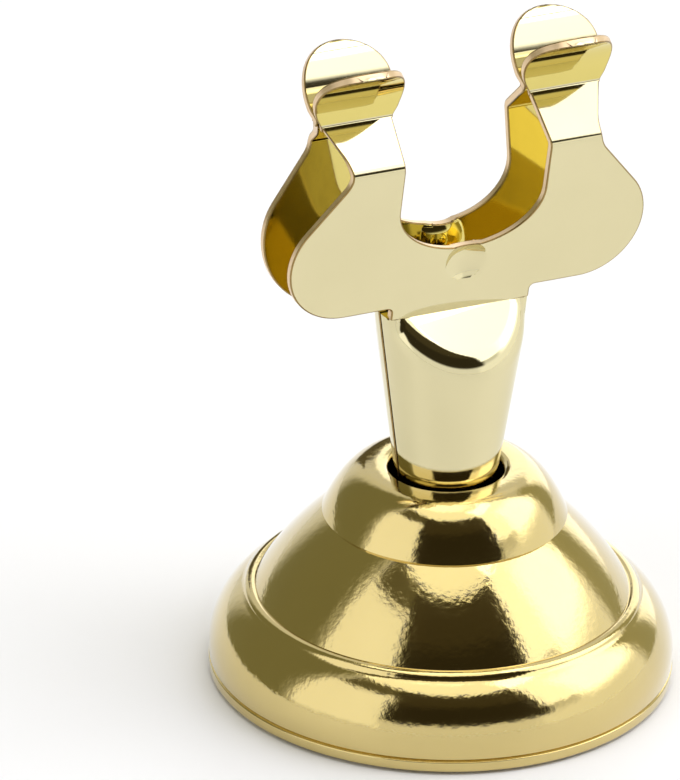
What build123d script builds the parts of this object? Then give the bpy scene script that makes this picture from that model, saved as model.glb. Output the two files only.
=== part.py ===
# Place card holder: a cast bell foot and a sprung clip of two leaves that grip a card.
# Millimetres, +Z up, +X along the clip, the front leaf towards -Y.
# The origin is the middle of the face that the holder stands on.
from build123d import *
from math import acos, atan2, cos, hypot, pi, sin, tan
import os

os.makedirs("parts", exist_ok=True)

# Bell foot, outside
rim_radius = 12.87
lip_overhang = 0.03
lip_height = 0.6
lip_line_depth = 0.22
lip_line_width = 0.18
step_inset = 1.86
step_height = 4.84
rim_bulge = 0.6
bead_width = 0.6
bead_rise = 0.3
shoulder_height = 9.48
shoulder_radius = 6.78
shoulder_line_depth = 0.15
shoulder_line_width = 0.25
crown_radius = 4.4
crown_bulge = 0.65
bell_height = 12.5

# Bell foot, inside
socket_radius = 3.37
socket_bevel = 0.45
boss_wall = 1.8
bell_wall = 1.6
pad_ledge = 0.8

# Pad under the foot
pad_thickness = 1.0
pad_proud = 0.15
pad_clearance = 0.1
pad_bevel = 0.2
standing_ring = 1.15

# Sheet that both leaves are stamped from
sheet = 0.6
fold_radius = 0.4
leaf_gap = 0.2
jaw_gap = 0.2

# Shank of a leaf: half a tube in the socket, spreading to a flat fold at its top
shank_radius = 2.82
shank_rise = 10.0
taper_start = 0.5
waist_width = 8.3
waist_depth = 1.15
facet_drop = 2.35
facet_reach = 2.75
flange_width = 1.2
flange_clearance = 0.6

# Washer that the two feet are spread over
washer_bore_clearance = 0.13
washer_width = 1.75
washer_thickness = 0.6
washer_gap = 0.05

# Head of a leaf, seen from the front
head_rise = 9.8
incline_rise = 2.1
lobe_radius = 3.55
lobe_centre = 7.05
lobe_lift = 0.75
cleft_width = 8.66
cleft_lift = 4.05
cleft_round = 3.0
neck_outer = 7.1
neck_round = 2.0
tab_centre = 6.2
tab_radius = 2.6
tab_neck_width = 4.1

# Head of a leaf, seen from the side
belly_depth = 3.0
flare_rise = 3.55
flare_depth = 2.6

# Dimple pressed into the middle of the head
dimple_radius = 1.25
dimple_depth = 0.4
dimple_lift = 3.1

# Heights that follow
crease_height = bell_height + shank_rise
belly_height = crease_height + head_rise
pinch_height = belly_height + incline_rise
flare_height = pinch_height + flare_rise
flange_floor = pad_thickness + flange_clearance
flange_top = flange_floor + sheet
washer_floor = flange_top + washer_gap
boss_floor = washer_floor + washer_thickness
lip_top = pad_proud + lip_height
rim_floor = lip_top + lip_line_width


def between(start, end, share, push):
    # A point on the way from start to end, pushed to the right of that way
    run = end[0] - start[0]
    rise = end[1] - start[1]
    length = hypot(run, rise)
    return (
        start[0] + share * run + push * rise / length,
        start[1] + share * rise - push * run / length,
    )


# Bell foot: the lip, the step and the recess for the pad follow the rim
lip_radius = rim_radius + lip_overhang
step_radius = rim_radius - step_inset
recess_radius = lip_radius - standing_ring
pad_radius = recess_radius - pad_clearance
boss_radius = socket_radius + boss_wall
cavity_radius = recess_radius - pad_ledge
rim_start = (rim_radius, rim_floor)
rim_end = (step_radius, step_height)
bead_top = (step_radius - bead_width, step_height + bead_rise)
flank_end = (shoulder_radius, shoulder_height)
line_top = (shoulder_radius, shoulder_height + shoulder_line_width)
crown = (crown_radius, bell_height)
mouth_top = (socket_radius + socket_bevel, bell_height)
mouth_side = (socket_radius, bell_height - socket_bevel)

# The cavity's roof runs under the flank, one wall below it
flank_angle = atan2(shoulder_height - bead_top[1], bead_top[0] - shoulder_radius)
flank_inset = bell_wall / sin(flank_angle)
roof_drop = (boss_radius + flank_inset - shoulder_radius) * tan(flank_angle)
cavity_drop = (cavity_radius + flank_inset - bead_top[0]) * tan(flank_angle)
cavity_roof = (boss_radius, shoulder_height - roof_drop)
cavity_corner = (cavity_radius, bead_top[1] - cavity_drop)

with BuildPart() as base_bell:
    with BuildSketch(Plane.XZ):
        with BuildLine():
            Polyline(
                (recess_radius, pad_thickness),
                (recess_radius, pad_proud),
                (lip_radius, pad_proud),
                (lip_radius, lip_top),
                (lip_radius - lip_line_depth, lip_top + lip_line_width / 2),
                rim_start,
            )
            ThreePointArc(rim_start, between(rim_start, rim_end, 0.5, rim_bulge), rim_end)
            Polyline(rim_end, between(rim_end, bead_top, 0.5, bead_rise / 2), bead_top)
            Polyline(
                bead_top,
                flank_end,
                (shoulder_radius - shoulder_line_depth, shoulder_height + shoulder_line_width / 2),
                line_top,
            )
            ThreePointArc(line_top, between(line_top, crown, 0.5, crown_bulge), crown)
            Polyline(
                crown,
                mouth_top,
                mouth_side,
                (socket_radius, boss_floor),
                (boss_radius, boss_floor),
                cavity_roof,
                cavity_corner,
                (cavity_radius, pad_thickness),
                (recess_radius, pad_thickness),
            )
        make_face()
    revolve(axis=Axis.Z)

base_bell.part.label = "base_bell"
export_step(base_bell.part, "parts/base_bell.step")

# Pad under the foot
with BuildPart() as base_pad:
    with BuildSketch(Plane.XY):
        Circle(pad_radius)
    extrude(amount=pad_thickness)
    chamfer(base_pad.edges().sort_by(Axis.Z)[0], pad_bevel)

base_pad.part.label = "base_pad"
export_step(base_pad.part, "parts/base_pad.step")

# Washer that the two feet are spread over
with BuildPart() as foot_washer:
    with BuildSketch(Plane.XY.offset(washer_floor)):
        Circle(shank_radius + washer_bore_clearance + washer_width)
        Circle(shank_radius + washer_bore_clearance, mode=Mode.SUBTRACT)
    extrude(amount=washer_thickness)

foot_washer.part.label = "foot_washer"
export_step(foot_washer.part, "parts/foot_washer.step")

# Shank of the front leaf: a spreading tube cut to its front half and sliced by the facet
taper_height = bell_height - taper_start
waist_radius = hypot(waist_width / 2, waist_depth)
reach = waist_radius + flange_width + shank_radius
facet_slope = facet_drop / facet_reach
facet_shift = sheet * hypot(facet_drop, facet_reach) / facet_drop

with BuildPart() as shank_hollow:
    with BuildSketch(Plane.XZ):
        Polygon(
            (0, 0),
            (shank_radius - sheet, 0),
            (shank_radius - sheet, taper_height),
            (waist_radius - sheet, crease_height),
            (0, crease_height),
            align=None,
        )
    revolve(axis=Axis.Z)
    with BuildSketch(Plane.YZ):
        Polygon(
            (reach, 0),
            (reach, crease_height),
            (sheet - waist_depth, crease_height),
            (sheet - waist_depth, crease_height - facet_slope * (facet_shift - sheet)),
            (-reach, crease_height - facet_slope * (reach - waist_depth + facet_shift)),
            (-reach, 0),
            align=None,
        )
    extrude(amount=reach, both=True, mode=Mode.INTERSECT)

with BuildPart() as shank:
    with BuildSketch(Plane.XZ):
        Polygon(
            (0, flange_floor),
            (shank_radius + flange_width, flange_floor),
            (shank_radius + flange_width, flange_top),
            (shank_radius, flange_top),
            (shank_radius, taper_height),
            (waist_radius, crease_height),
            (0, crease_height),
            align=None,
        )
    revolve(axis=Axis.Z)
    with BuildSketch(Plane.YZ):
        Polygon(
            (-leaf_gap / 2, 0),
            (-leaf_gap / 2, crease_height),
            (-waist_depth, crease_height),
            (-reach, crease_height - facet_slope * (reach - waist_depth)),
            (-reach, 0),
            align=None,
        )
    extrude(amount=reach, both=True, mode=Mode.INTERSECT)
    add(shank_hollow.part, mode=Mode.SUBTRACT)

# Folds of the head, on the middle of the sheet
crease = (sheet / 2 - waist_depth, crease_height)
belly = (sheet / 2 - belly_depth, belly_height)
pinch = (-(jaw_gap + sheet) / 2, pinch_height)
tip = (-flare_depth, flare_height)

# Outline of half the head, seen from the front
lobe_floor = crease_height + lobe_lift
lobe_middle = lobe_floor + lobe_radius
cleft_floor = crease_height + cleft_lift
neck_rise = belly_height - lobe_middle
neck_reach = neck_outer - lobe_centre
lobe_turn = atan2(neck_rise, neck_reach) - acos(lobe_radius / hypot(neck_reach, neck_rise))
lobe_leave = (lobe_centre + lobe_radius * cos(lobe_turn), lobe_middle + lobe_radius * sin(lobe_turn))
half_turn = (lobe_turn - pi / 2) / 2
lobe_side = (lobe_centre + lobe_radius * cos(half_turn), lobe_middle + lobe_radius * sin(half_turn))
neck_base = (neck_outer, belly_height)
neck_top = (tab_centre + tab_neck_width / 2, pinch_height)
neck_inner = tab_centre - tab_neck_width / 2
head_top = pinch_height + sheet

# Dimple, pressed from the outer face towards the other leaf
lean = atan2(belly_depth - waist_depth, head_rise)
dimple_ball = (dimple_radius**2 + dimple_depth**2) / (2 * dimple_depth)
dimple_height = crease_height + dimple_lift
dimple_face = -(waist_depth + (belly_depth - waist_depth) * dimple_lift / head_rise)
face_plane = Plane(
    origin=(0, dimple_face, dimple_height), x_dir=(1, 0, 0), z_dir=(0, cos(lean), sin(lean))
)
ball_place = face_plane.offset(dimple_depth - dimple_ball)

with BuildPart() as dimple_skin:
    with Locations(ball_place):
        Sphere(dimple_ball + sheet)
    split(bisect_by=face_plane, keep=Keep.TOP)

with BuildPart() as head:
    with BuildSketch(Plane.YZ):
        with BuildLine():
            FilletPolyline(crease, belly, pinch, radius=fold_radius)
        trace(line_width=sheet)
    extrude(amount=lobe_centre + lobe_radius, both=True)
    add(dimple_skin.part)
    with Locations(ball_place):
        Sphere(dimple_ball, mode=Mode.SUBTRACT)
    with BuildSketch(Plane.XZ) as head_outline:
        with BuildLine():
            Line((0, lobe_floor), (lobe_centre, lobe_floor))
            ThreePointArc((lobe_centre, lobe_floor), lobe_side, lobe_leave)
            Polyline(
                lobe_leave,
                neck_base,
                neck_top,
                (neck_top[0], head_top),
                (neck_inner, head_top),
                (neck_inner, pinch_height),
                (cleft_width / 2, belly_height),
                (cleft_width / 2, cleft_floor + cleft_round),
            )
            EllipticalCenterArc(
                (0, cleft_floor + cleft_round), cleft_width / 2, cleft_round, start_angle=270, arc_size=90
            )
            Line((0, cleft_floor), (0, lobe_floor))
        make_face()
        fillet(head_outline.vertices().sort_by_distance(neck_base)[0], neck_round)
        mirror(about=Plane.YZ)
        with Locations((0, (crease_height + lobe_floor) / 2)):
            Rectangle(waist_width, lobe_floor - crease_height + sheet)
    extrude(amount=reach, both=True, mode=Mode.INTERSECT)

# Flared tabs: a curled strip cut to two discs, square to its chord
flare_run = flare_depth + pinch[0]
flare_chord = hypot(flare_run, flare_rise)
tab_plane = Plane(
    origin=(0, pinch[0], pinch_height),
    x_dir=(1, 0, 0),
    z_dir=(0, -flare_rise / flare_chord, -flare_run / flare_chord),
)

with BuildPart() as tabs:
    with BuildSketch(Plane.YZ):
        with BuildLine():
            TangentArc(pinch, tip, tangent=(0, 1))
        trace(line_width=sheet)
    extrude(amount=tab_centre + tab_radius, both=True)
    with BuildSketch(tab_plane):
        with Locations((tab_centre, flare_chord - tab_radius)):
            Circle(tab_radius)
        with Locations((tab_centre, (flare_chord - tab_radius) / 2)):
            Rectangle(tab_neck_width, flare_chord - tab_radius + sheet)
        mirror(about=Plane.YZ)
    extrude(amount=reach, both=True, mode=Mode.INTERSECT)

# The two leaves
with BuildPart() as front_leaf:
    add(shank.part)
    add(head.part)
    add(tabs.part)

with BuildPart() as rear_leaf:
    add(front_leaf.part.mirror(Plane.XZ))

for leaf, name in ((front_leaf, "front_leaf"), (rear_leaf, "rear_leaf")):
    leaf.part.label = name
    export_step(leaf.part, f"parts/{name}.step")
    print(name, "solids", len(leaf.part.solids()), "volume", round(leaf.part.volume, 2))
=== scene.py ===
import math

import bmesh
import bpy
from mathutils import Matrix, Vector


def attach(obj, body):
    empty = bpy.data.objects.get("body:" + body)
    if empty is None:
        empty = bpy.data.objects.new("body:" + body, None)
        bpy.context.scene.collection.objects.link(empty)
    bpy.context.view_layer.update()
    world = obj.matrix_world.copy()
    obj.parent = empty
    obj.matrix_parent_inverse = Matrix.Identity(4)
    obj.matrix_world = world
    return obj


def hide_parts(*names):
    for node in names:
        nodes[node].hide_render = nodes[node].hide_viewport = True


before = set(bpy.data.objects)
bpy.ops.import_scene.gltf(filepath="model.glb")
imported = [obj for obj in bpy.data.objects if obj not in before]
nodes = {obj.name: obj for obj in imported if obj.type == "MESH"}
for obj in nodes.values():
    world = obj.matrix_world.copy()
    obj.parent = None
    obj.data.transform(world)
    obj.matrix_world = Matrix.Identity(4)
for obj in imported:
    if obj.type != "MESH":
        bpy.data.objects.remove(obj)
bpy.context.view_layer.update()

mm = 0.001  # sizes below are in millimetres, meshes in metres
fullTurn = 2 * math.pi
tiny = 1e-6  # a point closer to the axis than this is on it
weldDistance = 0.002  # points closer together than this become one
cornerShare = 0.45  # a rounded corner takes at most this share of each side


# small geometry helpers

def onCircle(centre, radius, turn):
    return (centre[0] + radius * math.cos(turn), centre[1] + radius * math.sin(turn))


def bulgedMiddle(start, end, push):  # the point halfway, pushed to the right of the way
    run, rise = end[0] - start[0], end[1] - start[1]
    length = math.hypot(run, rise)
    return (start[0] + run / 2 + push * rise / length, start[1] + rise / 2 - push * run / length)


def arcThrough(start, middle, end, steps):  # points of the circle through three points, start left out
    (ax, ay), (bx, by), (cx, cy) = start, middle, end
    fourAreas = 2 * (ax * (by - cy) + bx * (cy - ay) + cx * (ay - by))  # of the triangle
    a2, b2, c2 = ax * ax + ay * ay, bx * bx + by * by, cx * cx + cy * cy
    middleX = (a2 * (by - cy) + b2 * (cy - ay) + c2 * (ay - by)) / fourAreas
    middleY = (a2 * (cx - bx) + b2 * (ax - cx) + c2 * (bx - ax)) / fourAreas
    radius = math.hypot(ax - middleX, ay - middleY)
    first = math.atan2(ay - middleY, ax - middleX)
    turn = (math.atan2(cy - middleY, cx - middleX) - first) % fullTurn
    toMiddle = (math.atan2(by - middleY, bx - middleX) - first) % fullTurn
    if toMiddle > turn:
        turn -= fullTurn
    angles = [first + turn * k / steps for k in range(1, steps + 1)]
    return [onCircle((middleX, middleY), radius, angle) for angle in angles]


def roundCorner(before, corner, after, radius, steps):  # the arc that replaces a corner
    a, b, c = Vector(before), Vector(corner), Vector(after)
    u, v = (a - b).normalized(), (c - b).normalized()
    half = math.acos(max(-1.0, min(1.0, u.dot(v)))) / 2
    reach = min(radius / math.tan(half), (a - b).length * cornerShare, (c - b).length * cornerShare)
    radius = reach * math.tan(half)
    centre = b + (u + v).normalized() * (radius / math.sin(half))
    start, end = b + u * reach, b + v * reach
    middle = centre + (b - centre).normalized() * radius
    return [tuple(start)] + arcThrough(tuple(start), tuple(middle), tuple(end), steps)


def tiltedCurve(start, startTilt, end, endTilt, steps):  # tilts: how far the face looks up, start left out
    ux, uy = -math.sin(math.radians(startTilt)), math.cos(math.radians(startTilt))
    vx, vy = -math.sin(math.radians(endTilt)), math.cos(math.radians(endTilt))
    reach = ((end[0] - start[0]) * vy - (end[1] - start[1]) * vx) / (ux * vy - uy * vx)
    guides = (start, (start[0] + reach * ux, start[1] + reach * uy), end)
    points = []
    for k in range(1, steps + 1):
        t = k / steps
        shares = ((1 - t) ** 2, 2 * t * (1 - t), t * t)
        points.append(tuple(sum(w * p[axis] for w, p in zip(shares, guides)) for axis in (0, 1)))
    return points


def sideways(points, distance):  # a path moved to its left
    moved = []
    for k, p in enumerate(points):
        a = Vector(points[max(k - 1, 0)])
        b = Vector(points[min(k + 1, len(points) - 1)])
        along = (b - a).normalized()
        moved.append((p[0] - along.y * distance, p[1] + along.x * distance))
    return moved


def mirrored(points):  # the right half of an outline and its left half, as one loop
    return points + [(-u, v) for u, v in reversed(points) if u > tiny]


def sideOn(u, v, w):  # an outline of (depth, height), pushed from side to side
    return (w, u, v)


def frontOn(u, v, w):  # an outline of (across, height), pushed from front to back
    return (u, w, v)


def onPlane(origin, across, up, out):  # an outline on a tilted plane, pushed out of it
    def place(u, v, w):
        return origin + across * u + up * v + out * w
    return place


def newPiece(name, bm, material=None):
    bmesh.ops.recalc_face_normals(bm, faces=bm.faces)
    mesh = bpy.data.meshes.new(name)
    bm.to_mesh(mesh)
    bm.free()
    piece = bpy.data.objects.new(name, mesh)
    bpy.context.scene.collection.objects.link(piece)
    if material:
        mesh.materials.append(material)
    return piece


def smoothFaces(mesh):
    mesh.polygons.foreach_set("use_smooth", [True] * len(mesh.polygons))


def prism(name, outline, place, low, high, material):  # an outline pushed along one way
    bm = bmesh.new()
    rings = [[bm.verts.new(Vector(place(u, v, w)) * mm) for u, v in outline] for w in (low, high)]
    bm.faces.new(rings[0])
    bm.faces.new(reversed(rings[1]))
    for k in range(len(outline)):
        n = (k + 1) % len(outline)
        bm.faces.new((rings[0][k], rings[0][n], rings[1][n], rings[1][k]))
    return newPiece(name, bm, material)


def lathe(name, profile, segments, material):  # closed profile of (radius, height)
    bm = bmesh.new()
    rings = []
    turns = [fullTurn * k / segments for k in range(segments)]
    for r, z in profile:
        if r < tiny:
            rings.append([bm.verts.new((0, 0, z * mm))] * segments)
            continue
        rings.append([bm.verts.new((r * mm * math.cos(t), r * mm * math.sin(t), z * mm)) for t in turns])
    for i in range(len(rings)):
        a, b = rings[i], rings[(i + 1) % len(rings)]
        for k in range(segments):
            n = (k + 1) % segments
            corners = []
            for v in (a[k], a[n], b[n], b[k]):
                if v not in corners:
                    corners.append(v)
            if len(corners) > 2:
                bm.faces.new(corners)
    return newPiece(name, bm, material)


def makeBall(name, centre, radius, segments, material):
    bm = bmesh.new()
    bmesh.ops.create_uvsphere(bm, u_segments=segments, v_segments=segments // 2, radius=radius * mm)
    bmesh.ops.translate(bm, verts=bm.verts, vec=Vector(centre) * mm)
    return newPiece(name, bm, material)


def combine(piece, other, operation):  # exact boolean, result kept as a plain mesh
    cut = piece.modifiers.new("combine", "BOOLEAN")
    cut.operation = operation
    cut.solver = "EXACT"
    cut.material_mode = "TRANSFER"
    cut.object = other
    mesh = bpy.data.meshes.new_from_object(piece.evaluated_get(bpy.context.evaluated_depsgraph_get()))
    piece.modifiers.clear()
    piece.data = mesh
    bpy.data.objects.remove(other)
    return piece


# materials

noiseDetail = {"blotch": 4, "ripple": 3}


def newMaterial(name, colour, metallic, roughness):
    material = bpy.data.materials.new(name)
    material.use_nodes = True
    shader = material.node_tree.nodes["Principled BSDF"]
    shader.inputs["Base Color"].default_value = (*colour, 1)
    shader.inputs["Metallic"].default_value = metallic
    shader.inputs["Roughness"].default_value = roughness
    return material, material.node_tree, shader


def surfaceGroup():  # blotches and fine ripple shared by all finishes
    group = bpy.data.node_groups.new("platedSurface", "ShaderNodeTree")
    face = group.interface
    wanted = (("Colour A", "Color"), ("Colour B", "Color"), ("Rough Low", "Float"), ("Rough High", "Float"),
              ("Blotch Scale", "Float"), ("Ripple Scale", "Float"))
    for name, kind in wanted:
        face.new_socket(name, in_out="INPUT", socket_type="NodeSocket" + kind)
    for name, kind in (("Colour", "Color"), ("Roughness", "Float"), ("Ripple", "Float")):
        face.new_socket(name, in_out="OUTPUT", socket_type="NodeSocket" + kind)
    add, link = group.nodes.new, group.links.new
    given, result = add("NodeGroupInput"), add("NodeGroupOutput")
    where = add("ShaderNodeTexCoord")
    blotch, ripple = add("ShaderNodeTexNoise"), add("ShaderNodeTexNoise")
    blotch.inputs["Detail"].default_value = noiseDetail["blotch"]
    ripple.inputs["Detail"].default_value = noiseDetail["ripple"]
    mix, rough = add("ShaderNodeMix"), add("ShaderNodeMapRange")
    mix.data_type = "RGBA"
    for noise, scale in ((blotch, "Blotch Scale"), (ripple, "Ripple Scale")):
        link(where.outputs["Object"], noise.inputs["Vector"])
        link(given.outputs[scale], noise.inputs["Scale"])
    link(blotch.outputs["Fac"], mix.inputs["Factor"])
    link(given.outputs["Colour A"], mix.inputs["A"])
    link(given.outputs["Colour B"], mix.inputs["B"])
    link(blotch.outputs["Fac"], rough.inputs["Value"])
    link(given.outputs["Rough Low"], rough.inputs["To Min"])
    link(given.outputs["Rough High"], rough.inputs["To Max"])
    link(mix.outputs["Result"], result.inputs["Colour"])
    link(rough.outputs["Result"], result.inputs["Roughness"])
    link(ripple.outputs["Fac"], result.inputs["Ripple"])
    return group


platedSurface = surfaceGroup()


def platedMaterial(name, values):
    material, tree, shader = newMaterial(name, values["colours"][0], values["metallic"], values["rough"][0])
    effect = tree.nodes.new("ShaderNodeGroup")
    effect.node_tree = platedSurface
    bump = tree.nodes.new("ShaderNodeBump")
    bump.inputs["Strength"].default_value = values["rippleStrength"]
    bump.inputs["Distance"].default_value = values["rippleDepth"] * mm
    shader.inputs["Coat Weight"].default_value = values["lacquer"]
    shader.inputs["Coat Roughness"].default_value = values["rough"][0]
    for socket, colour in zip(("Colour A", "Colour B"), values["colours"]):
        effect.inputs[socket].default_value = (*colour, 1)
    for socket, rough in zip(("Rough Low", "Rough High"), values["rough"]):
        effect.inputs[socket].default_value = rough
    effect.inputs["Blotch Scale"].default_value = values["blotchScale"]
    effect.inputs["Ripple Scale"].default_value = values["rippleScale"]
    tree.links.new(effect.outputs["Colour"], shader.inputs["Base Color"])
    tree.links.new(effect.outputs["Roughness"], shader.inputs["Roughness"])
    tree.links.new(effect.outputs["Ripple"], bump.inputs["Height"])
    tree.links.new(bump.outputs["Normal"], shader.inputs["Normal"])
    return material


castGold = platedMaterial("castGold", {
    "colours": ((0.58, 0.455, 0.165), (0.65, 0.515, 0.20)), "metallic": 1.0, "rough": (0.07, 0.13),
    "blotchScale": 260, "rippleScale": 2300, "rippleStrength": 0.45, "rippleDepth": 0.03, "lacquer": 1.0})
sheetGold = platedMaterial("sheetGold", {
    "colours": ((0.67, 0.605, 0.36), (0.74, 0.67, 0.41)), "metallic": 1.0, "rough": (0.04, 0.08),
    "blotchScale": 180, "rippleScale": 700, "rippleStrength": 0.05, "rippleDepth": 0.02, "lacquer": 0.0})
# painted reflection: a yellower copy of the sheet's gold for the faces between the leaves and under the
# tabs, standing in for light bounced between the gold faces
sheetBounceTint = platedMaterial("sheetBounceTint", {
    "colours": ((0.68, 0.57, 0.17), (0.76, 0.64, 0.21)), "metallic": 1.0, "rough": (0.04, 0.08),
    "blotchScale": 220, "rippleScale": 700, "rippleStrength": 0.04, "rippleDepth": 0.02, "lacquer": 0.0})
sheetEdge = platedMaterial("sheetEdge", {
    "colours": ((0.72, 0.52, 0.31), (0.84, 0.65, 0.42)), "metallic": 1.0, "rough": (0.28, 0.42),
    "blotchScale": 900, "rippleScale": 4000, "rippleStrength": 0.3, "rippleDepth": 0.02, "lacquer": 0.0})
# painted shade: dark brown for the rounding strips along the sheet's edges, standing in for the dark
# reflections a glossy rounded edge shows
paintedEdgeShade = platedMaterial("paintedEdgeShade", {
    "colours": ((0.24, 0.155, 0.05), (0.40, 0.28, 0.11)), "metallic": 1.0, "rough": (0.2, 0.32),
    "blotchScale": 1400, "rippleScale": 4000, "rippleStrength": 0.3, "rippleDepth": 0.02, "lacquer": 0.0})
washerSteel = platedMaterial("washerSteel", {
    "colours": ((0.52, 0.51, 0.48), (0.66, 0.65, 0.62)), "metallic": 1.0, "rough": (0.28, 0.45),
    "blotchScale": 700, "rippleScale": 3000, "rippleStrength": 0.3, "rippleDepth": 0.02, "lacquer": 0.0})
padRubber = platedMaterial("padRubber", {
    "colours": ((0.018, 0.018, 0.018), (0.035, 0.034, 0.033)), "metallic": 0.0, "rough": (0.75, 0.95),
    "blotchScale": 900, "rippleScale": 5200, "rippleStrength": 0.8, "rippleDepth": 0.08, "lacquer": 0.0})
print("materials made")


# bell foot, turned from its section

bell = {
    "rimRadius": 12.87, "rimBulge": 0.6, "lipRadius": 12.894, "lipHeight": 0.6, "lipRound": 0.15,
    "lipLineDepth": 0.22, "lipLineWidth": 0.18, "lineRound": 0.075,
    "stepHeight": 4.84, "stepRadius": 11.01, "beadWidth": 0.6, "beadRise": 0.3, "beadBulge": 0.15,
    "shoulderHeight": 9.48, "shoulderRadius": 6.78, "flankBulge": 0.22,
    "shoulderLineDepth": 0.15, "shoulderLineWidth": 0.25,
    "crownRadius": 4.4, "collarFootTilt": 24, "collarTopTilt": 74, "height": 12.5,
    "socketRadius": 3.15, "socketRound": 0.4, "bossRadius": 5.17, "bossFloor": 2.85,
    "recessRadius": 11.75, "padThickness": 1.0, "padProud": 0.15,
    "cavityRadius": 10.95, "cavityRoof": 8.9, "cavityShoulder": 2.0,
    "segments": 224, "arcSteps": 20, "lipSteps": 6, "lineSteps": 4, "beadSteps": 8, "socketSteps": 10,
    "rimLead": 2, "sharpAngle": 40,
}


def bellSection(s):
    lipTop = s["padProud"] + s["lipHeight"]
    lipFloor, lipEdge = (s["lipRadius"], s["padProud"]), (s["lipRadius"], lipTop)
    lipLine = (s["lipRadius"] - s["lipLineDepth"], lipTop + s["lipLineWidth"] / 2)
    rimStart, rimEnd = (s["rimRadius"], lipTop + s["lipLineWidth"]), (s["stepRadius"], s["stepHeight"])
    beadTop = (s["stepRadius"] - s["beadWidth"], s["stepHeight"] + s["beadRise"])
    flankEnd = (s["shoulderRadius"], s["shoulderHeight"])
    lineFloor = (s["shoulderRadius"] - s["shoulderLineDepth"], flankEnd[1] + s["shoulderLineWidth"] / 2)
    lineTop = (s["shoulderRadius"], flankEnd[1] + s["shoulderLineWidth"])
    crown, mouth = (s["crownRadius"], s["height"]), (s["socketRadius"], s["height"])
    socketFloor = (s["socketRadius"], s["bossFloor"])
    steps, lead = s["arcSteps"], s["rimLead"]
    section = [(s["recessRadius"], s["padProud"])]
    section += roundCorner(section[0], lipFloor, lipEdge, s["lipRound"], s["lipSteps"])
    section += roundCorner(lipFloor, lipEdge, lipLine, s["lineRound"], s["lineSteps"])
    section.append(lipLine)
    rim = arcThrough(rimStart, bulgedMiddle(rimStart, rimEnd, s["rimBulge"]), rimEnd, steps)
    section += roundCorner(lipLine, rimStart, rim[lead], s["lineRound"], s["lineSteps"])
    section += rim[lead:]  # the rounded corner stands for the points before
    section += arcThrough(rimEnd, bulgedMiddle(rimEnd, beadTop, s["beadBulge"]), beadTop, s["beadSteps"])
    section += arcThrough(beadTop, bulgedMiddle(beadTop, flankEnd, s["flankBulge"]), flankEnd, steps)
    section += [lineFloor, lineTop]
    section += tiltedCurve(lineTop, s["collarFootTilt"], crown, s["collarTopTilt"], steps)
    section += roundCorner(crown, mouth, socketFloor, s["socketRound"], s["socketSteps"])
    section += [socketFloor, (s["bossRadius"], s["bossFloor"])]
    section += [(s["bossRadius"], s["cavityRoof"]), (s["cavityRadius"], s["cavityShoulder"])]
    section += [(s["cavityRadius"], s["padThickness"]), (s["recessRadius"], s["padThickness"])]
    return section


def turningTree():  # a closed section of (radius, 0, height) points, turned round the upright axis
    tree = bpy.data.node_groups.new("turnedFoot", "GeometryNodeTree")
    face = tree.interface
    wanted = (("Section", "Geometry"), ("Section Points", "Int"), ("Segments", "Int"),
              ("Material", "Material"))
    for name, kind in wanted:
        face.new_socket(name, in_out="INPUT", socket_type="NodeSocket" + kind)
    face.new_socket("Turned", in_out="OUTPUT", socket_type="NodeSocketGeometry")
    add, link = tree.nodes.new, tree.links.new
    given, result = add("NodeGroupInput"), add("NodeGroupOutput")

    def number(operation, *values):
        node = add("ShaderNodeMath")
        node.operation = operation
        for socket, value in zip(node.inputs, values):
            if isinstance(value, (int, float)):
                socket.default_value = value
            else:
                link(value, socket)
        return node.outputs[0]

    points, segments = given.outputs["Section Points"], given.outputs["Segments"]
    across = number("ADD", segments, 1)
    grid = add("GeometryNodeMeshGrid")
    link(number("ADD", points, 1), grid.inputs["Vertices X"])
    link(across, grid.inputs["Vertices Y"])
    index = add("GeometryNodeInputIndex").outputs[0]
    ring = number("MODULO", number("FLOOR", number("DIVIDE", index, across)), points)
    turn = number("MULTIPLY", number("DIVIDE", number("MODULO", index, across), segments), fullTurn)
    place = add("GeometryNodeSampleIndex")
    place.data_type = "FLOAT_VECTOR"
    link(given.outputs["Section"], place.inputs["Geometry"])
    link(add("GeometryNodeInputPosition").outputs[0], place.inputs["Value"])
    link(ring, place.inputs["Index"])
    swing = add("ShaderNodeVectorRotate")
    swing.rotation_type = "Z_AXIS"
    link(place.outputs["Value"], swing.inputs["Vector"])
    link(turn, swing.inputs["Angle"])
    move = add("GeometryNodeSetPosition")
    link(grid.outputs["Mesh"], move.inputs["Geometry"])
    link(swing.outputs["Vector"], move.inputs["Position"])
    merge = add("GeometryNodeMergeByDistance")
    merge.inputs["Distance"].default_value = weldDistance * mm
    real, paint = add("GeometryNodeRealizeInstances"), add("GeometryNodeSetMaterial")
    link(given.outputs["Material"], paint.inputs["Material"])
    for start, end in ((move, merge), (merge, real), (real, paint), (paint, result)):
        link(start.outputs[0], end.inputs[0])
    return tree


def turnedPiece(name, section, segments, material):
    outline = bmesh.new()
    for r, z in section:
        outline.verts.new((r * mm, 0, z * mm))
    draft = newPiece(name, outline)
    turning = draft.modifiers.new("turning", "NODES")
    turning.node_group = turningTree()
    values = {"Section Points": len(section), "Segments": segments, "Material": material}
    for item in turning.node_group.interface.items_tree:
        if item.in_out == "INPUT" and item.name in values:
            turning[item.identifier] = values[item.name]
    mesh = bpy.data.meshes.new_from_object(draft.evaluated_get(bpy.context.evaluated_depsgraph_get()))
    bpy.data.objects.remove(draft)
    turned = bmesh.new()
    turned.from_mesh(mesh)
    return newPiece(name, turned, material)


bellFoot = turnedPiece("bellFoot", bellSection(bell), bell["segments"], castGold)
smoothFaces(bellFoot.data)
bellFoot.data.set_sharp_from_angle(angle=math.radians(bell["sharpAngle"]))
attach(bellFoot, "foot")
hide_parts("base_bell")
print("bell foot turned")


# clip leaf, folded from sheet

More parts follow.
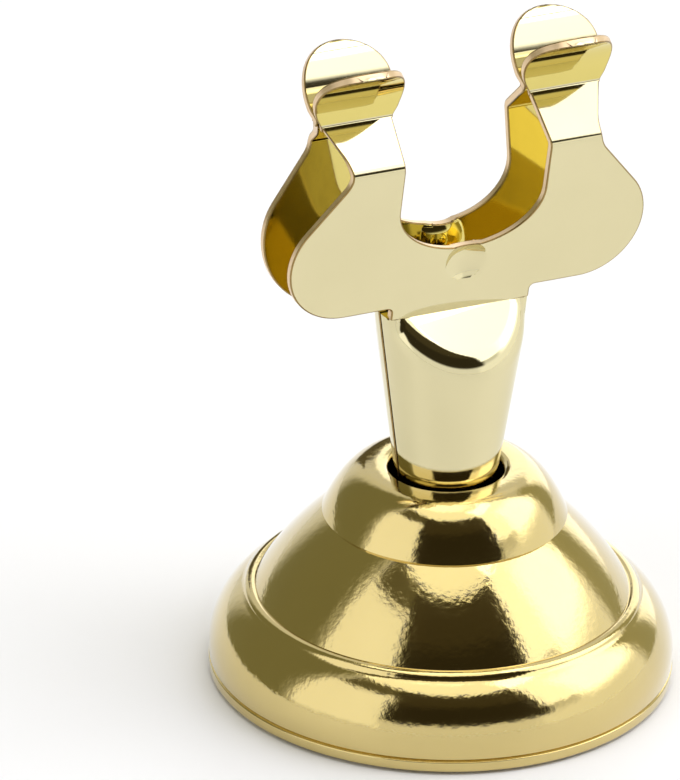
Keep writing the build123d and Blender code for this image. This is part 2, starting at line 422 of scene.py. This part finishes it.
leaf = {
    "sheet": 0.45, "foldRadius": 0.4, "leafGap": 0.2, "jawGap": 0.2,
    "shankRadius": 2.82, "taperHeight": 12.0, "waistWidth": 8.3, "waistDepth": 1.15,
    "facetDrop": 2.35, "facetReach": 2.75, "facetRound": 1.1, "facetProfile": 0.5,
    "flangeWidth": 1.2, "flangeFloor": 1.6,
    "creaseHeight": 22.5, "bellyHeight": 32.3, "bellyDepth": 3.0, "pinchHeight": 34.4,
    "flareRise": 3.55, "flareDepth": 2.6,
    "lobeRadius": 3.55, "lobeCentre": 7.05, "lobeLift": 0.75, "lobeCorner": 0.3,
    "cleftWidth": 8.66, "cleftLift": 4.05, "cleftRound": 3.0, "neckOuter": 7.1, "neckRound": 2.0,
    "tabCentre": 6.2, "tabRadius": 2.6, "tabNeckWidth": 4.1, "tabFillet": 0.9, "tabCutShare": 0.55,
    "dimpleRadius": 1.25, "dimpleDepth": 0.4, "dimpleLift": 3.1, "dimplePatch": 4.0,
    "edgeRound": 0.08, "edgeAngle": 50, "creaseClear": 0.8, "normalWeight": 100,
    "inwardFacing": 0.2, "downFacing": -0.1,  # parts of a normal, for the faces that get the painted reflection, a yellower gold
    "halfSpan": 10.8, "farOut": 9.0, "spare": 1.0,  # reach of the cutting shapes
    "shankSegments": 64, "ballSegments": 96, "foldSteps": 8, "flareSteps": 24, "flareLead": 3,
    "cornerSteps": 5, "lobeSteps": 28, "neckSteps": 16, "cleftSteps": 24,
    "tabSteps": 48, "tabLead": 3, "filletSteps": 6, "facetSteps": 5, "edgeSteps": 3,
}


def foldPath(s):  # middle of the sheet, from the crease to the tip, in (y, z)
    crease = (s["sheet"] / 2 - s["waistDepth"], s["creaseHeight"])
    belly = (s["sheet"] / 2 - s["bellyDepth"], s["bellyHeight"])
    pinch = (-(s["jawGap"] + s["sheet"]) / 2, s["pinchHeight"])
    run = s["flareDepth"] + pinch[0]
    curl = (run ** 2 + s["flareRise"] ** 2) / (2 * run)
    sweep = math.asin(s["flareRise"] / curl)
    steps, lead = s["flareSteps"], s["flareLead"]
    flare = []
    for k in range(1, steps + 1):
        turn = sweep * k / steps
        flare.append((pinch[0] - curl * (1 - math.cos(turn)), pinch[1] + curl * math.sin(turn)))
    path = [crease] + roundCorner(crease, belly, pinch, s["foldRadius"], s["foldSteps"])
    path += roundCorner(belly, pinch, flare[lead], s["foldRadius"], s["foldSteps"])
    path += flare[lead + 1:]  # the fold's arc stands for the points before
    return path, pinch, run


def headOutline(s):  # right half seen from the front, from the crease round to the cleft's floor
    low = s["creaseHeight"] - s["sheet"] / 2
    floor = s["creaseHeight"] + s["lobeLift"]
    lobe = (s["lobeCentre"], floor + s["lobeRadius"])
    cleft = s["creaseHeight"] + s["cleftLift"]
    reach, rise = s["neckOuter"] - lobe[0], s["bellyHeight"] - lobe[1]
    leave = math.atan2(rise, reach) - math.acos(s["lobeRadius"] / math.hypot(reach, rise))
    waist, inner = s["waistWidth"] / 2, s["cleftWidth"] / 2
    quarter = math.pi / 2
    points = [(0, low), (waist, low)]
    points += roundCorner(points[-1], (waist, floor), (lobe[0], floor), s["lobeCorner"], s["cornerSteps"])
    for k in range(s["lobeSteps"] + 1):
        points.append(onCircle(lobe, s["lobeRadius"], -quarter + (leave + quarter) * k / s["lobeSteps"]))
    neckBase = (s["neckOuter"], s["bellyHeight"])
    neckTop = (s["tabCentre"] + s["tabNeckWidth"] / 2, s["pinchHeight"])
    neckInner = s["tabCentre"] - s["tabNeckWidth"] / 2
    headTop = s["pinchHeight"] + s["sheet"] / 2
    points += roundCorner(points[-1], neckBase, neckTop, s["neckRound"], s["neckSteps"])
    points += [neckTop, (neckTop[0], headTop), (neckInner, headTop), (neckInner, s["pinchHeight"])]
    points.append((inner, s["bellyHeight"]))
    for k in range(s["cleftSteps"] + 1):
        turn = quarter * k / s["cleftSteps"]
        points.append((inner * math.cos(turn), cleft + s["cleftRound"] * (1 - math.sin(turn))))
    return points


def tabOutline(s, chord):  # one tab on its own chord plane, from the pinch up
    middle = (s["tabCentre"], chord - s["tabRadius"])
    half = s["tabNeckWidth"] / 2
    start = -math.acos(half / s["tabRadius"])
    steps, lead = s["tabSteps"], s["tabLead"]
    disc = []
    for k in range(steps + 1):
        disc.append(onCircle(middle, s["tabRadius"], start + (math.pi - 2 * start) * k / steps))
    low = [(s["tabCentre"] - half, -s["sheet"] / 2), (s["tabCentre"] + half, -s["sheet"] / 2)]
    right = roundCorner(low[1], disc[0], disc[lead + 1], s["tabFillet"], s["filletSteps"])
    left = roundCorner(disc[-lead - 2], disc[-1], low[0], s["tabFillet"], s["filletSteps"])
    return low + right + disc[lead:-lead] + left


def pressDimple(head, s):  # a round dent in the outer face, which stands out on the inner face
    steep = math.atan2(s["bellyDepth"] - s["waistDepth"], s["bellyHeight"] - s["creaseHeight"])
    inward = Vector((0, math.cos(steep), math.sin(steep)))
    along = Vector((0, -math.sin(steep), math.cos(steep)))
    depth = -s["waistDepth"] - math.tan(steep) * s["dimpleLift"]
    spot = Vector((0, depth, s["creaseHeight"] + s["dimpleLift"]))
    ball = (s["dimpleRadius"] ** 2 + s["dimpleDepth"] ** 2) / (2 * s["dimpleDepth"])
    centre = spot + inward * (s["dimpleDepth"] - ball)
    skin = makeBall("dimpleSkin", centre, ball + s["sheet"], s["ballSegments"], sheetGold)
    patch = s["dimplePatch"]
    square = [(-patch, -patch), (patch, -patch), (patch, patch), (-patch, patch)]
    slab = onPlane(spot, Vector((1, 0, 0)), along, inward)
    skin = combine(skin, prism("dimpleSide", square, slab, s["sheet"] / 2, patch, sheetGold), "INTERSECT")
    head = combine(head, skin, "UNION")
    return combine(head, makeBall("dimpleHollow", centre, ball, s["ballSegments"], sheetGold), "DIFFERENCE")


def roundFacet(shank, s, slope):  # softens the edge where the flat facet cuts the round shank
    bm = bmesh.new()
    bm.from_mesh(shank.data)
    steep = math.atan(slope)
    nearly, almostLevel = 0.01, 0.4  # how far a normal may be off the facet's, and off level

    def onFacet(face):
        off = abs(face.normal.z - math.cos(steep)), abs(face.normal.y + math.sin(steep))
        return max(off) < nearly

    def outside(face):
        middle = face.calc_center_median()
        outward = face.normal.x * middle.x + face.normal.y * middle.y
        return outward > 0 and abs(face.normal.z) < almostLevel

    bm.normal_update()
    edges = []
    for edge in bm.edges:
        if len(edge.link_faces) == 2 and edge.calc_length() < s["facetRound"] * mm:
            one, two = edge.link_faces
            if (onFacet(one) and outside(two)) or (onFacet(two) and outside(one)):
                edges.append(edge)
    bmesh.ops.bevel(bm, geom=edges, offset=s["facetRound"] * mm, segments=s["facetSteps"],
                    profile=s["facetProfile"], affect="EDGES")
    bm.to_mesh(shank.data)
    bm.free()
    print("facet edges rounded:", len(edges))


def makeShank(s):  # half a round tube, tapering to the waist and closed by the facet
    waist = math.hypot(s["waistWidth"] / 2, s["waistDepth"])
    slope = s["facetDrop"] / s["facetReach"]
    shift = s["sheet"] * math.hypot(s["facetDrop"], s["facetReach"]) / s["facetDrop"]
    crease, far, spare = s["creaseHeight"], s["farOut"], s["spare"]
    flange, flangeTop = s["shankRadius"] + s["flangeWidth"], s["flangeFloor"] + s["sheet"]
    bore, waistBore = s["shankRadius"] - s["sheet"], waist - s["sheet"]
    outer = [(0, s["flangeFloor"]), (flange, s["flangeFloor"]), (flange, flangeTop)]
    outer += [(s["shankRadius"], flangeTop), (s["shankRadius"], s["taperHeight"])]
    outer += [(waist, crease), (0, crease)]
    inner = [(0, 0), (bore, 0), (bore, s["taperHeight"])]
    inner += [(waistBore, crease), (waistBore, crease + spare), (0, crease + spare)]
    front = [(-s["leafGap"] / 2, 0), (-s["leafGap"] / 2, crease), (-s["waistDepth"], crease)]
    front += [(-far, crease - slope * (far - s["waistDepth"])), (-far, 0)]
    inside = s["sheet"] - s["waistDepth"]
    hollow = [(far, -spare), (far, crease + spare), (inside, crease + spare)]
    hollow.append((inside, crease - slope * (shift - s["sheet"])))
    hollow += [(-far, crease - slope * (far - s["waistDepth"] + shift)), (-far, -spare)]
    core = lathe("shankCore", inner, s["shankSegments"], sheetGold)
    core = combine(core, prism("coreCut", hollow, sideOn, -far, far, sheetGold), "INTERSECT")
    shank = lathe("shank", outer, s["shankSegments"], sheetGold)
    shank = combine(shank, prism("frontCut", front, sideOn, -far, far, sheetGold), "INTERSECT")
    shank = combine(shank, core, "DIFFERENCE")
    roundFacet(shank, s, slope)
    return shank


def paintBounceTint(piece, s):  # painted reflection: a yellower gold on the faces between the leaves and under the tabs, standing in for light bounced between the gold faces
    piece.data.materials.append(sheetBounceTint)
    # the dark painted edge shade for the rounding strips, standing in for dark reflections along the
    # sheet's edges
    piece.data.materials.append(paintedEdgeShade)
    used = list(piece.data.materials)
    crease, pinch = s["creaseHeight"] * mm, s["pinchHeight"] * mm
    for face in piece.data.polygons:
        inner = crease < face.center.z < pinch and face.normal.y > s["inwardFacing"]
        under = face.center.z > pinch and face.normal.z < s["downFacing"]
        if used[face.material_index] == sheetGold and (inner or under):
            face.material_index = used.index(sheetBounceTint)


def makeLeaf(name, s):
    path, pinch, run = foldPath(s)
    band = sideways(path, s["sheet"] / 2) + list(reversed(sideways(path, -s["sheet"] / 2)))
    head = prism("band", band, sideOn, -s["halfSpan"], s["halfSpan"], sheetGold)
    head = pressDimple(head, s)
    chord = math.hypot(run, s["flareRise"])
    up, out = Vector((0, -run, s["flareRise"])) / chord, Vector((0, -s["flareRise"], -run)) / chord
    root = Vector((0, pinch[0], pinch[1]))
    outline = prism("outline", mirrored(headOutline(s)), frontOn, -s["farOut"], s["farOut"], sheetEdge)
    tabFace = s["sheet"] * s["tabCutShare"]  # just past the outer face of the sheet
    for side in (1, -1):
        tab = onPlane(root, Vector((side, 0, 0)), up, out)
        cut = prism("tabCut", tabOutline(s, chord), tab, -s["tabRadius"], tabFace, sheetEdge)
        outline = combine(outline, cut, "UNION")
    head = combine(head, outline, "INTERSECT")
    piece = combine(head, makeShank(s), "UNION")
    piece.name = name
    piece.data.name = name
    paintBounceTint(piece, s)
    return piece


def softenEdges(piece, s, spots):  # rounds the outer edges of the sheet, which stay sharp near the spots
    bm = bmesh.new()
    bm.from_mesh(piece.data)
    bmesh.ops.remove_doubles(bm, verts=bm.verts, dist=weldDistance * mm)
    bmesh.ops.dissolve_degenerate(bm, edges=bm.edges, dist=weldDistance * mm)
    weight = bm.edges.layers.float.new("bevel_weight_edge")
    for edge in bm.edges:
        middle = (edge.verts[0].co + edge.verts[1].co) / 2
        near = any((middle - spot * mm).length < s["creaseClear"] * mm for spot in spots)
        sharp = len(edge.link_faces) == 2 and edge.calc_face_angle() > math.radians(s["edgeAngle"])
        rounded = sharp and edge.is_convex and not near
        edge[weight] = 1.0 if rounded else 0.0
        edge.smooth = rounded or not sharp
    bm.to_mesh(piece.data)
    bm.free()
    smoothFaces(piece.data)
    bevel = piece.modifiers.new("edges", "BEVEL")
    bevel.width = s["edgeRound"] * mm
    bevel.segments = s["edgeSteps"]
    bevel.limit_method = "WEIGHT"
    bevel.use_clamp_overlap = False
    bevel.harden_normals = True
    # the rounding strips take the dark painted edge shade, standing in for dark reflections along the
    # sheet's edges
    bevel.material = list(piece.data.materials).index(paintedEdgeShade)
    even = piece.modifiers.new("even", "WEIGHTED_NORMAL")
    even.keep_sharp = True
    even.weight = s["normalWeight"]


frontLeaf = makeLeaf("frontLeaf", leaf)
rearLeaf = frontLeaf.copy()
rearLeaf.name = "rearLeaf"
rearLeaf.data = frontLeaf.data.copy()
bpy.context.scene.collection.objects.link(rearLeaf)
turned = bmesh.new()
turned.from_mesh(rearLeaf.data)
bmesh.ops.rotate(turned, verts=turned.verts, cent=(0, 0, 0), matrix=Matrix.Rotation(math.pi, 3, "Z"))
turned.to_mesh(rearLeaf.data)
turned.free()
creaseEnds = [Vector((side * leaf["waistWidth"] / 2, 0, leaf["creaseHeight"])) for side in (1, -1)]
for piece, body, node in ((frontLeaf, "front_jaw", "front_leaf"), (rearLeaf, "rear_jaw", "rear_leaf")):
    softenEdges(piece, leaf, creaseEnds)
    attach(piece, body)
    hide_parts(node)
print("clip leaves folded")

for node, material in (("base_pad", padRubber), ("foot_washer", washerSteel)):
    nodes[node].data.materials.clear()
    nodes[node].data.materials.append(material)
print("pad and washer finished")


# floor, light and camera

studio = {
    "azimuth": -25.4, "elevation": 26.07, "roll": 1.35, "distance": 510.0, "pixelsPerMm": 18.17,
    "aimHeight": 12.24, "aimPixel": (445.9, 468.0), "image": (680, 780), "sensor": 36.0,
    "clipMetres": (0.01, 20),
}
paper = {
    "colour": (0.93, 0.93, 0.945), "rough": (0.58, 0.64), "noiseScale": 40, "halfMetres": 4.0, "cells": 8,
}
topSoftbox = {
    "azimuth": 30, "elevation": 84, "metresAway": 1.8, "metresWide": 1.7, "brightness": 1.5,
}
backWall = (0.85, 0.85, 0.82)
pastFloor = (0.95, 0.95, 0.95)  # what a camera sees past the floor's edge
cards = (  # name, middle azimuth and elevation, half width, half height and soft edge in degrees, colour
    ("backPaper", 160, 10, 21.5, 20, 1, (1.8, 1.8, 1.8)),
    ("backDark", 191.5, 14, 10, 11, 1, (0.12, 0.1, 0.05)),
    ("backHigh", 163, 54, 24, 13, 4, (1.0, 1.0, 1.0)),
    ("paperSweep", 20, 0, 98, 14, 2, (1.0, 1.0, 1.0)),
    ("rightSweep", 86, 0, 36, 17, 4, (1.22, 1.22, 1.22)),
    ("highDark", 27, 64, 98, 13, 3, (0.14, 0.125, 0.07)),
    ("leftDark", -110, 30, 32, 40, 8, (0.25, 0.24, 0.13)),
    ("rightDark", 131, 15, 10, 26, 5, (0.45, 0.43, 0.26)),
    ("frontDark", 14, 37, 43, 23, 3, (0.035, 0.028, 0.014)),
    ("frontHigh", 14, 50, 41, 9, 4, (0.065, 0.052, 0.025)),
    ("leftSoftbox", -53, 27, 23, 24, 2, (1.38, 1.38, 1.40)),
    ("rightSoftbox", 88.7, 48.5, 34, 23, 1.5, (2.0, 2.0, 2.1)),
    ("rightGlow", 98, 36, 21, 17, 7, (3.0, 3.0, 3.1)),
)


def makeFloor(s):
    material, tree, shader = newMaterial("paperFloor", s["colour"], 0.0, s["rough"][0])
    noise = tree.nodes.new("ShaderNodeTexNoise")
    noise.inputs["Scale"].default_value = s["noiseScale"]
    tone = tree.nodes.new("ShaderNodeMapRange")
    for socket, rough in zip(("To Min", "To Max"), s["rough"]):
        tone.inputs[socket].default_value = rough
    tree.links.new(noise.outputs["Fac"], tone.inputs["Value"])
    tree.links.new(tone.outputs["Result"], shader.inputs["Roughness"])
    bm = bmesh.new()
    bmesh.ops.create_grid(bm, x_segments=s["cells"], y_segments=s["cells"], size=s["halfMetres"])
    floor = newPiece("paperFloor", bm, material)


def direction(azimuth, elevation):  # azimuth is measured from the camera's own, to the right
    a, e = math.radians(studio["azimuth"] + azimuth), math.radians(elevation)
    return Vector((math.sin(a) * math.cos(e), -math.cos(a) * math.cos(e), math.sin(e)))


def cardGroup():  # lays one soft-edged card over what surrounds the object
    group = bpy.data.node_groups.new("studioCard", "ShaderNodeTree")
    face = group.interface
    ways = (("Azimuth", "Middle Azimuth", "Half Width"), ("Elevation", "Middle Elevation", "Half Height"))
    for name in ("Behind", "Card"):
        face.new_socket(name, in_out="INPUT", socket_type="NodeSocketColor")
    for name in ways[0] + ways[1] + ("Edge",):
        face.new_socket(name, in_out="INPUT", socket_type="NodeSocketFloat")
    face.new_socket("Colour", in_out="OUTPUT", socket_type="NodeSocketColor")
    add, link = group.nodes.new, group.links.new
    given, result = add("NodeGroupInput"), add("NodeGroupOutput")
    cover = add("ShaderNodeMath")
    cover.operation = "MULTIPLY"
    for k, (way, middle, half) in enumerate(ways):
        apart, wrap, gap, inside, share = (add("ShaderNodeMath") for step in range(5))
        apart.operation, wrap.operation, gap.operation = "SUBTRACT", "WRAP", "ABSOLUTE"
        inside.operation, share.operation = "SUBTRACT", "DIVIDE"
        wrap.inputs[1].default_value, wrap.inputs[2].default_value = math.pi, -math.pi
        soft = add("ShaderNodeMapRange")
        soft.interpolation_type = "SMOOTHSTEP"
        soft.inputs["From Min"].default_value = -1
        link(given.outputs[way], apart.inputs[0])
        link(given.outputs[middle], apart.inputs[1])
        link(apart.outputs[0], wrap.inputs[0])
        link(wrap.outputs[0], gap.inputs[0])
        link(given.outputs[half], inside.inputs[0])
        link(gap.outputs[0], inside.inputs[1])
        link(inside.outputs[0], share.inputs[0])
        link(given.outputs["Edge"], share.inputs[1])
        link(share.outputs[0], soft.inputs["Value"])
        link(soft.outputs["Result"], cover.inputs[k])
    mix = add("ShaderNodeMix")
    mix.data_type = "RGBA"
    link(cover.outputs[0], mix.inputs["Factor"])
    link(given.outputs["Behind"], mix.inputs["A"])
    link(given.outputs["Card"], mix.inputs["B"])
    link(mix.outputs["Result"], result.inputs["Colour"])
    return group


def makeWorld():
    world = bpy.data.worlds.new("studioSurround")
    bpy.context.scene.world = world
    world.use_nodes = True
    tree = world.node_tree
    add, link = tree.nodes.new, tree.links.new
    where = add("ShaderNodeTexCoord")
    parts = []
    for axis in (direction(90, 0), direction(0, 0), Vector((0, 0, 1))):
        part = add("ShaderNodeVectorMath")
        part.operation = "DOT_PRODUCT"
        part.inputs[1].default_value = axis
        link(where.outputs["Generated"], part.inputs[0])
        parts.append(part.outputs["Value"])
    around, above = add("ShaderNodeMath"), add("ShaderNodeMath")
    around.operation, above.operation = "ARCTAN2", "ARCSINE"
    link(parts[0], around.inputs[0])
    link(parts[1], around.inputs[1])
    link(parts[2], above.inputs[0])
    group = cardGroup()
    colour = None
    for name, azimuth, elevation, halfWidth, halfHeight, edge, tone in cards:
        card = add("ShaderNodeGroup")
        card.node_tree = group
        card.label = name
        if colour:
            link(colour, card.inputs["Behind"])
        else:
            card.inputs["Behind"].default_value = (*backWall, 1)
        card.inputs["Card"].default_value = (*tone, 1)
        link(around.outputs[0], card.inputs["Azimuth"])
        link(above.outputs[0], card.inputs["Elevation"])
        for socket, angle in (("Middle Azimuth", azimuth), ("Middle Elevation", elevation),
                              ("Half Width", halfWidth), ("Half Height", halfHeight), ("Edge", edge)):
            card.inputs[socket].default_value = math.radians(angle)
        colour = card.outputs["Colour"]
    seen = add("ShaderNodeLightPath")
    plain = add("ShaderNodeMix")
    plain.data_type = "RGBA"
    plain.inputs["B"].default_value = (*pastFloor, 1)
    link(seen.outputs["Is Camera Ray"], plain.inputs["Factor"])
    link(colour, plain.inputs["A"])
    link(plain.outputs["Result"], tree.nodes["Background"].inputs["Color"])


def makeSoftbox(name, s):
    data = bpy.data.lights.new(name, "AREA")
    data.shape = "DISK"
    data.size = s["metresWide"]
    data.energy = s["brightness"] * math.pi * math.pi * s["metresWide"] ** 2 / 4  # pi times the disk's area
    lamp = bpy.data.objects.new(name, data)
    lamp.location = direction(s["azimuth"], s["elevation"]) * s["metresAway"]
    lamp.rotation_mode = "QUATERNION"
    lamp.rotation_quaternion = (-lamp.location).to_track_quat("-Z", "Y")
    bpy.context.scene.collection.objects.link(lamp)


def makeCamera(s):
    turn, roll = math.radians(s["azimuth"]), math.radians(s["roll"])
    back = direction(0, s["elevation"])
    level = Vector((math.cos(turn), math.sin(turn), 0))
    above = back.cross(level)
    right = level * math.cos(roll) + above * math.sin(roll)
    up = above * math.cos(roll) - level * math.sin(roll)
    width, height = s["image"]
    aside = (width / 2 - s["aimPixel"][0]) / s["pixelsPerMm"]
    higher = (s["aimPixel"][1] - height / 2) / s["pixelsPerMm"]
    aim = Vector((0, 0, s["aimHeight"])) + right * aside + up * higher
    data = bpy.data.cameras.new("photoCamera")
    data.sensor_width = s["sensor"]
    data.lens = s["pixelsPerMm"] * s["distance"] * s["sensor"] / max(width, height)
    data.clip_start, data.clip_end = s["clipMetres"]
    camera = bpy.data.objects.new("photoCamera", data)
    axes = Matrix((right, up, back)).transposed()
    camera.matrix_world = Matrix.Translation((aim + back * s["distance"]) * mm) @ axes.to_4x4()
    bpy.context.scene.collection.objects.link(camera)
    bpy.context.scene.camera = camera


makeFloor(paper)
makeWorld()
makeSoftbox("topSoftbox", topSoftbox)
makeCamera(studio)
bpy.context.scene.view_settings.view_transform = "Standard"
print("studio set")
